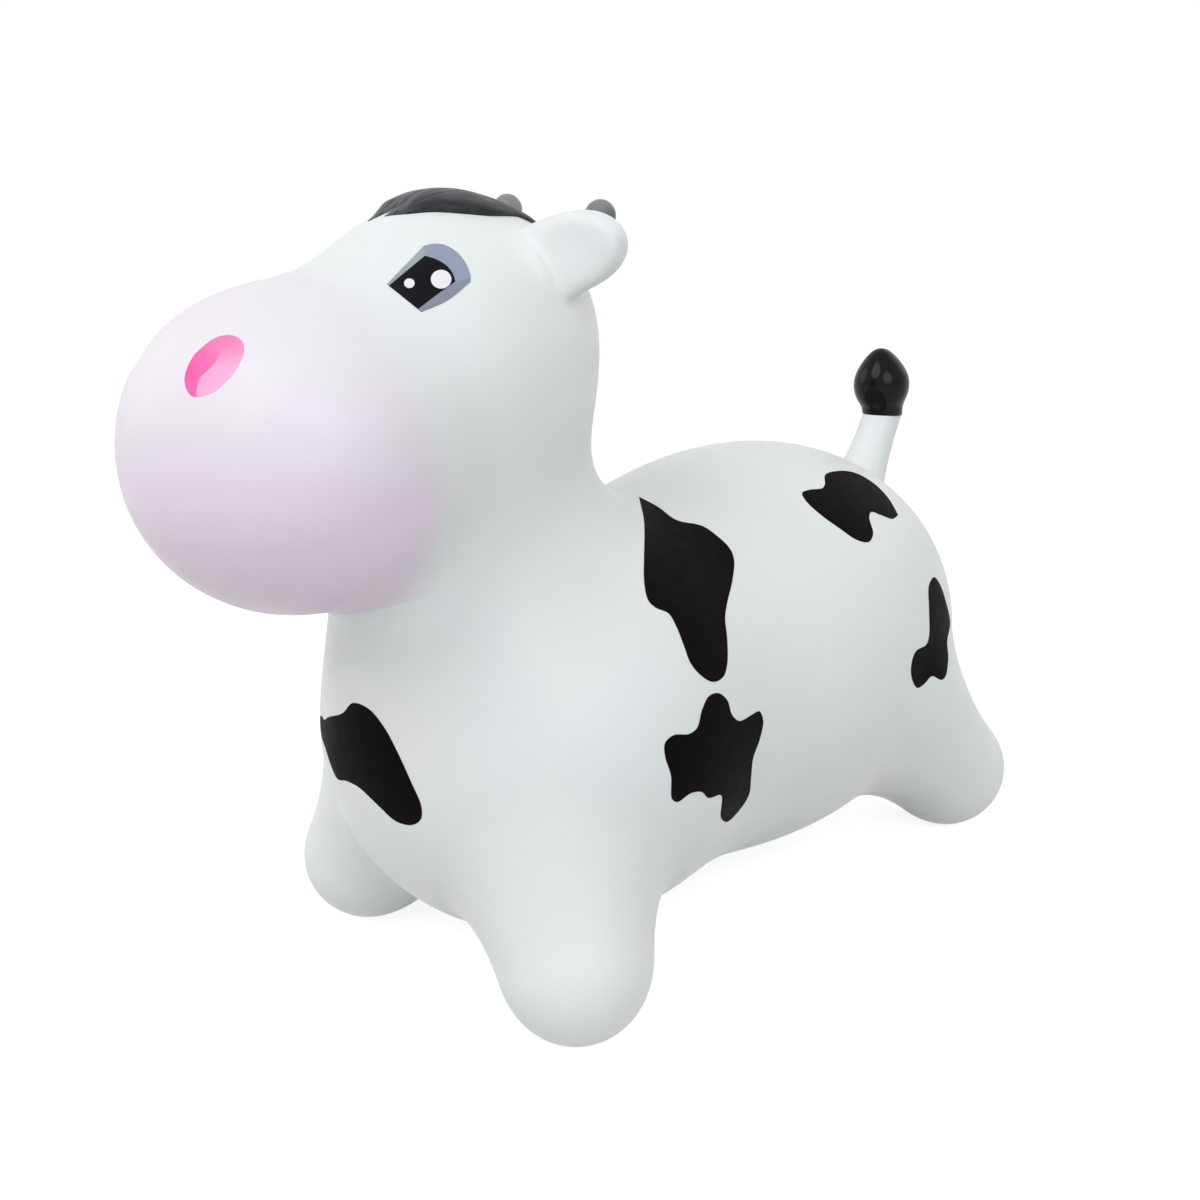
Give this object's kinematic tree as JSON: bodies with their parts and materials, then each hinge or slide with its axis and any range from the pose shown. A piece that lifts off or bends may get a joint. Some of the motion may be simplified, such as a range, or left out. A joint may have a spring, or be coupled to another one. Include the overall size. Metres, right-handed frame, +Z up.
{
  "type": "inflatable ride-on animal",
  "caption": "Inflatable bouncing ride-on cow: hollow soft vinyl body with sprung feet, nodding head, bending ears, wagging tail and an air valve with a pull-out plug.",
  "frame": {"origin": "on the floor, under the middle of the whole length, on the plane of symmetry", "axes": "+Z up, +Y towards the tail so that the cow faces -Y, +X towards the cow's left side"},
  "size_m": [0.2932, 0.62, 0.4657],
  "materials": {
    "white_vinyl": "satin soft vinyl",
    "pink_vinyl": "satin soft vinyl, sprayed pale pink",
    "nostril_paint": "satin hot pink",
    "hair_paint": "satin dark grey",
    "tuft_paint": "glossy black",
    "eye_print": "printed film, satin",
    "valve_plastic": "satin white"
  },
  "bodies": {
    "torso": {"torso_skin": "white_vinyl", "neck_skin": "white_vinyl", "front_left_leg": "white_vinyl", "front_right_leg": "white_vinyl", "rear_left_leg": "white_vinyl", "rear_right_leg": "white_vinyl", "tail_root": "white_vinyl", "valve_seat": "valve_plastic"},
    "head": {"head_skin": "white_vinyl", "muzzle_skin": "pink_vinyl", "forelock": "hair_paint", "left_horn": "hair_paint", "right_horn": "hair_paint", "left_eye": "eye_print", "right_eye": "eye_print", "left_nostril": "nostril_paint", "right_nostril": "nostril_paint", "left_ear_root": "white_vinyl", "right_ear_root": "white_vinyl"},
    "left_ear": {"left_ear": "white_vinyl"},
    "right_ear": {"right_ear": "white_vinyl"},
    "tail": {"tail_stem": "white_vinyl", "tail_tuft": "tuft_paint"},
    "front_left_foot": {"front_left_foot": "white_vinyl"},
    "front_right_foot": {"front_right_foot": "white_vinyl"},
    "rear_left_foot": {"rear_left_foot": "white_vinyl"},
    "rear_right_foot": {"rear_right_foot": "white_vinyl"},
    "plug": {"valve_plug": "valve_plastic"}
  },
  "joints": [
    {"name": "head_nod", "type": "hinge", "parent": "torso", "child": "head", "pos_m": [0, -0.152, 0.257], "axis": [1, 0, 0], "range_deg": [-8, 8], "stiffness_Nm_per_rad": 15, "springref_deg": -1.15, "deforming": ["neck_skin"]},
    {"name": "left_ear_flex", "type": "hinge", "parent": "head", "child": "left_ear", "pos_m": [0.068, -0.0945, 0.427], "axis": [-0.4695, 0, 0.8829], "range_deg": [-15, 15], "stiffness_Nm_per_rad": 0.3, "deforming": ["left_ear_root"]},
    {"name": "right_ear_flex", "type": "hinge", "parent": "head", "child": "right_ear", "pos_m": [-0.068, -0.0945, 0.427], "axis": [-0.4695, 0, -0.8829], "range_deg": [-15, 15], "stiffness_Nm_per_rad": 0.3, "deforming": ["right_ear_root"]},
    {"name": "tail_wag", "type": "hinge", "parent": "torso", "child": "tail", "pos_m": [0, 0.2705, 0.25113], "axis": [0, 0.788, -0.6157], "range_deg": [-25, 25], "stiffness_Nm_per_rad": 0.4, "deforming": ["tail_root"]},
    {"name": "front_left_press", "type": "slide", "parent": "torso", "child": "front_left_foot", "axis": [0, 0, 1], "range_m": [0, 0.01], "stiffness_N_per_m": 2500, "springref_m": -0.003, "deforming": ["front_left_leg"]},
    {"name": "front_right_press", "type": "slide", "parent": "torso", "child": "front_right_foot", "axis": [0, 0, 1], "range_m": [0, 0.01], "stiffness_N_per_m": 2500, "springref_m": -0.003, "deforming": ["front_right_leg"]},
    {"name": "rear_left_press", "type": "slide", "parent": "torso", "child": "rear_left_foot", "axis": [0, 0, 1], "range_m": [0, 0.01], "stiffness_N_per_m": 2500, "springref_m": -0.003, "deforming": ["rear_left_leg"]},
    {"name": "rear_right_press", "type": "slide", "parent": "torso", "child": "rear_right_foot", "axis": [0, 0, 1], "range_m": [0, 0.01], "stiffness_N_per_m": 2500, "springref_m": -0.003, "deforming": ["rear_right_leg"]},
    {"name": "plug_pull", "type": "slide", "parent": "torso", "child": "plug", "axis": [0, 0.5336, -0.8458], "range_m": [0, 0.02]}
  ]
}
